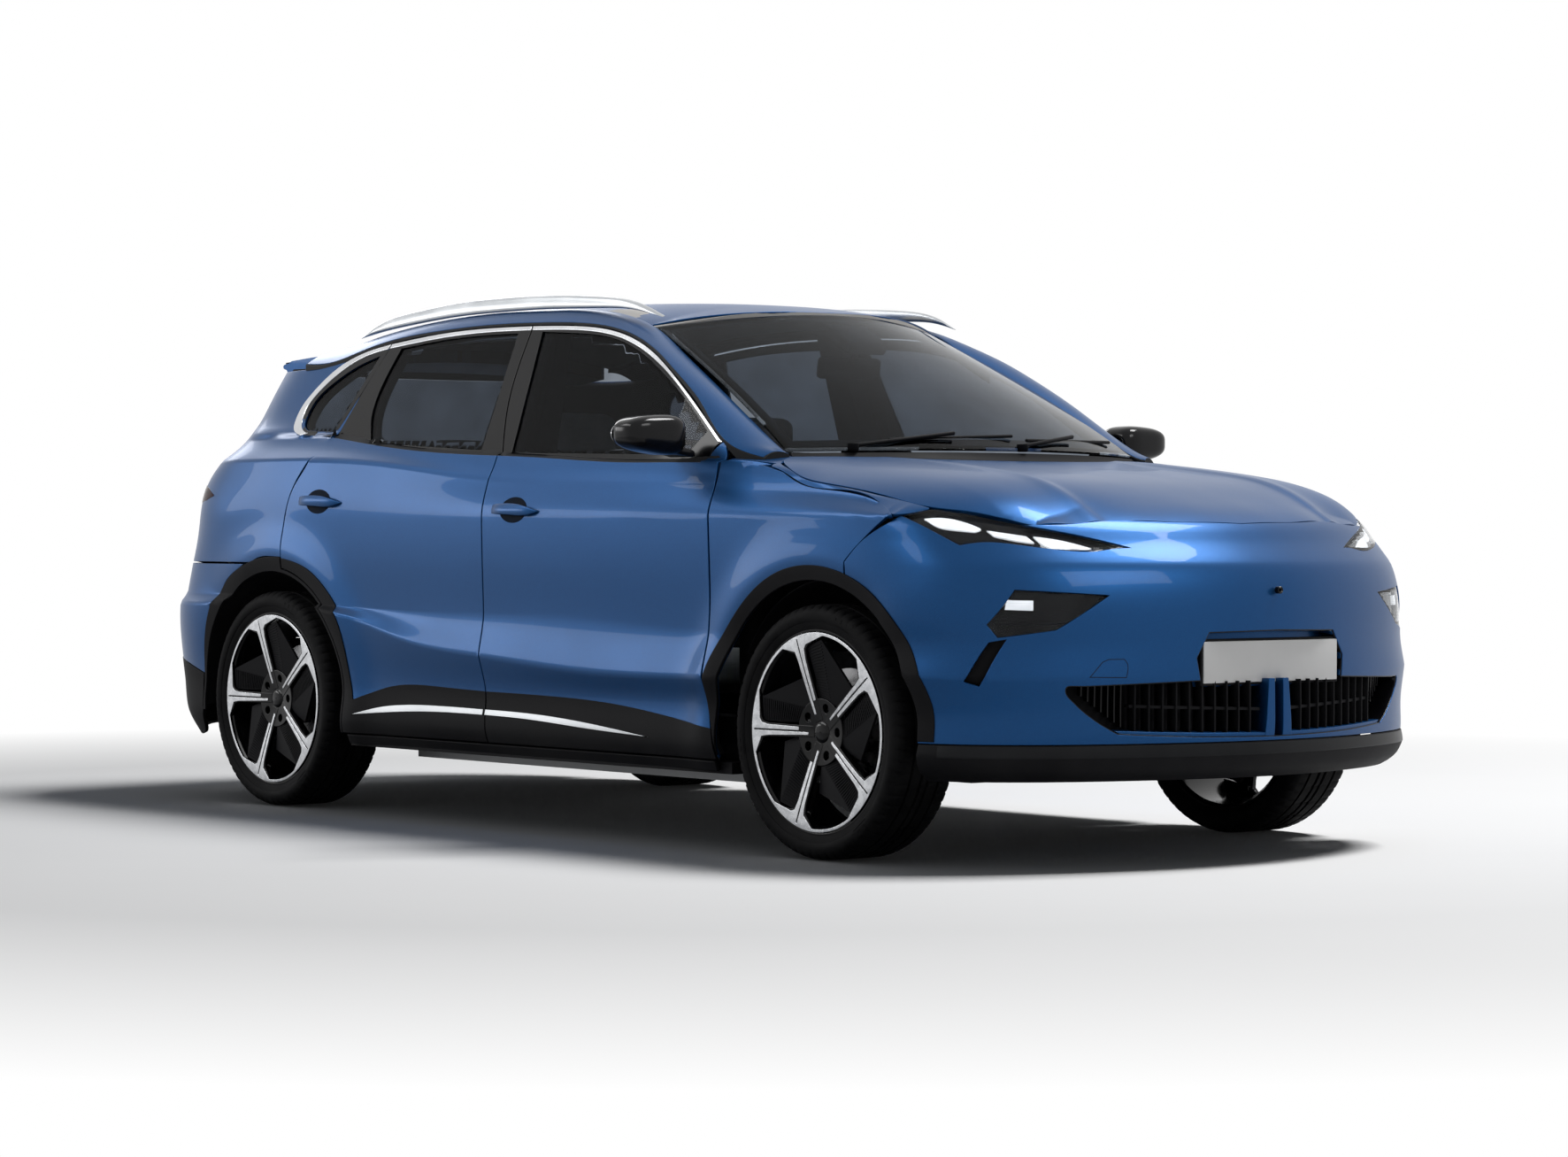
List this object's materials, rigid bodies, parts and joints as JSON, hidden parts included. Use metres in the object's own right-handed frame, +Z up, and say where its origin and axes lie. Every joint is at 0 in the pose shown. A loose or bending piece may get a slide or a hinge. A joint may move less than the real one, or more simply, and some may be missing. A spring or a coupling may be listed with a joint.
{
  "type": "electric crossover car",
  "caption": "Blue five-door electric crossover with roof rails, opening doors, bonnet and tailgate, steered front wheels and a fitted cabin.",
  "frame": {"origin": "on the ground, half way along the car and on its centre plane", "axes": "+X points forward, +Y to the car's left, +Z up"},
  "size_m": [4.4771, 2.135, 1.6208],
  "materials": {
    "body_paint": "metallic blue gloss",
    "black_plastic": "matt grained",
    "gloss_black": "gloss",
    "clear_glass": "tinted",
    "lamp_lens": "clear",
    "red_lens": "red",
    "alloy": "machined",
    "tyre_rubber": "matt",
    "steel": "coated",
    "battery_case": "cast",
    "seat_cloth": "woven",
    "dash_plastic": "grained",
    "rail_silver": "satin"
  },
  "bodies": {
    "body": {"arch_liners": "black_plastic", "battery_pack": "battery_case", "bumper_lamps": "lamp_lens", "dashboard": "dash_plastic", "drive_motor": "steel", "floor_pan": "body_paint", "front_bumper": "body_paint", "front_fenders": "body_paint", "front_lip": "black_plastic", "front_seats": "seat_cloth", "front_struts": "steel", "front_subframe": "steel", "headlamps": "lamp_lens", "lower_grille": "black_plastic", "quarter_glass": "clear_glass", "rear_bumper": "body_paint", "rear_quarter_left": "body_paint", "rear_quarter_right": "body_paint", "rear_seat": "seat_cloth", "rear_subframe": "steel", "roof_panel": "body_paint", "roof_rails": "rail_silver", "roof_sides": "body_paint", "side_frame_left": "body_paint", "side_frame_right": "body_paint", "tail_lamps": "red_lens", "windscreen": "clear_glass"},
    "front_door_left": {"front_door_left": "body_paint", "front_door_glass_left": "clear_glass", "door_mirror_left": "gloss_black"},
    "rear_door_left": {"rear_door_left": "body_paint", "rear_door_glass_left": "clear_glass"},
    "front_hub_left": {"front_knuckle_left": "steel"},
    "front_road_wheel_left": {"front_wheel_left": "alloy", "front_tyre_left": "tyre_rubber"},
    "rear_road_wheel_left": {"rear_wheel_left": "alloy", "rear_tyre_left": "tyre_rubber"},
    "front_door_right": {"front_door_right": "body_paint", "front_door_glass_right": "clear_glass", "door_mirror_right": "gloss_black"},
    "rear_door_right": {"rear_door_right": "body_paint", "rear_door_glass_right": "clear_glass"},
    "front_hub_right": {"front_knuckle_right": "steel"},
    "front_road_wheel_right": {"front_wheel_right": "alloy", "front_tyre_right": "tyre_rubber"},
    "rear_road_wheel_right": {"rear_wheel_right": "alloy", "rear_tyre_right": "tyre_rubber"},
    "bonnet": {"bonnet": "body_paint"},
    "tailgate": {"tailgate": "body_paint", "rear_glass": "clear_glass", "tailgate_lamp": "red_lens"},
    "charge_flap": {"charge_flap": "body_paint"},
    "steering_wheel": {"steering_wheel": "dash_plastic"}
  },
  "joints": [
    {"name": "front_door_left_swing", "type": "hinge", "parent": "body", "child": "front_door_left", "pos_m": [0.925, 0.916, 0.65], "axis": [0, 0, -1], "range_deg": [0, 68]},
    {"name": "rear_door_left_swing", "type": "hinge", "parent": "body", "child": "rear_door_left", "pos_m": [-0.2, 0.916, 0.65], "axis": [0, 0, -1], "range_deg": [0, 72]},
    {"name": "front_steer_left", "type": "hinge", "parent": "body", "child": "front_hub_left", "pos_m": [1.36, 0.69, 0.348], "axis": [0, 0, 1], "range_deg": [-36, 36]},
    {"name": "front_wheel_left_spin", "type": "hinge", "parent": "front_hub_left", "child": "front_road_wheel_left", "pos_m": [1.36, 0.79, 0.348], "axis": [0, 1, 0], "continuous": true},
    {"name": "rear_wheel_left_spin", "type": "hinge", "parent": "body", "child": "rear_road_wheel_left", "pos_m": [-1.37, 0.79, 0.348], "axis": [0, 1, 0], "continuous": true},
    {"name": "front_door_right_swing", "type": "hinge", "parent": "body", "child": "front_door_right", "pos_m": [0.925, -0.916, 0.65], "axis": [0, 0, 1], "range_deg": [0, 68]},
    {"name": "rear_door_right_swing", "type": "hinge", "parent": "body", "child": "rear_door_right", "pos_m": [-0.2, -0.916, 0.65], "axis": [0, 0, 1], "range_deg": [0, 72]},
    {"name": "front_steer_right", "type": "hinge", "parent": "body", "child": "front_hub_right", "pos_m": [1.36, -0.69, 0.348], "axis": [0, 0, 1], "range_deg": [-36, 36]},
    {"name": "front_wheel_right_spin", "type": "hinge", "parent": "front_hub_right", "child": "front_road_wheel_right", "pos_m": [1.36, -0.79, 0.348], "axis": [0, 1, 0], "continuous": true},
    {"name": "rear_wheel_right_spin", "type": "hinge", "parent": "body", "child": "rear_road_wheel_right", "pos_m": [-1.37, -0.79, 0.348], "axis": [0, 1, 0], "continuous": true},
    {"name": "bonnet_lift", "type": "hinge", "parent": "body", "child": "bonnet", "pos_m": [1.03, 0, 1.106], "axis": [0, -1, 0], "range_deg": [0, 50]},
    {"name": "tailgate_lift", "type": "hinge", "parent": "body", "child": "tailgate", "pos_m": [-1.486, 0, 1.528], "axis": [0, 1, 0], "range_deg": [0, 78]},
    {"name": "charge_flap_swing", "type": "hinge", "parent": "body", "child": "charge_flap", "pos_m": [-1.397, 0.905, 0.965], "axis": [0, 0, -1], "range_deg": [0, 85]},
    {"name": "steering_wheel_turn", "type": "hinge", "parent": "body", "child": "steering_wheel", "pos_m": [0.345, -0.365, 0.965], "axis": [-0.9135, 0, 0.4067], "range_deg": [-470, 470]}
  ],
  "couplings": [
    {"joint": "front_steer_right", "follows": "front_steer_left", "ratio": 1},
    {"joint": "steering_wheel_turn", "follows": "front_steer_left", "ratio": 13}
  ]
}
